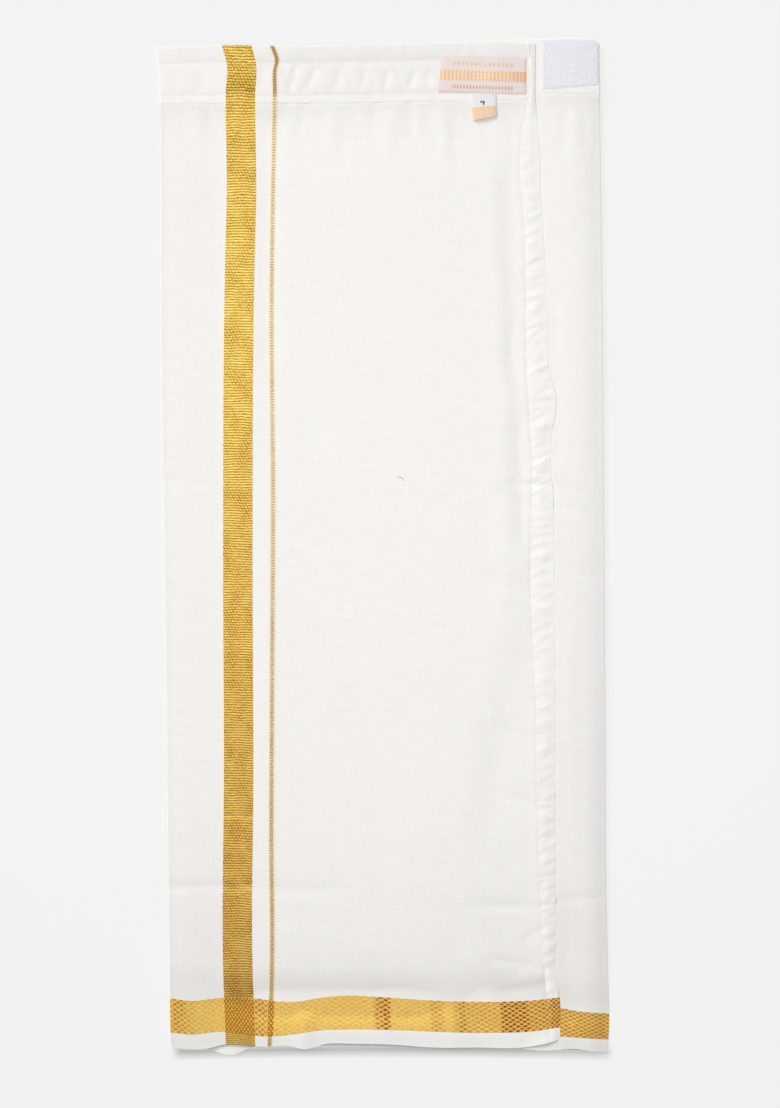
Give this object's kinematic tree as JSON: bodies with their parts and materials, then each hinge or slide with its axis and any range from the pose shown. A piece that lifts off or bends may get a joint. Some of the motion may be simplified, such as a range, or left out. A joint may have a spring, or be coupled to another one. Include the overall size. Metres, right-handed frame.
{
  "type": "child's ready-made wrap dhoti",
  "caption": "Child's ready-made wrap dhoti in white cotton with woven gold zari borders, closed and laid flat.",
  "frame": {"origin": "centre of the garment's outline, on the surface that it lies on", "axes": "+X across the front to the wearer's left, where the front flap closes; +Y up the cloth to the waist; +Z out of the front, up from the surface"},
  "size_m": [0.2736, 0.6143, 0.0066],
  "materials": {
    "white_cotton": "plain-woven cotton, matt, with woven gold zari borders",
    "loop_tape": "brushed nylon loops, bluish white",
    "woven_label": "damask-woven, cream with an orange band, soft sheen"
  },
  "bodies": {
    "root": {"back_panel": "white_cotton", "under_flap": "white_cotton", "front_flap": "white_cotton", "flap_hem": "white_cotton", "waistband_front": "white_cotton", "waistband_under": "white_cotton", "waistband_back": "white_cotton", "closure_tape": "loop_tape", "waist_label": "woven_label", "size_tab": "woven_label"}
  },
  "joints": []
}
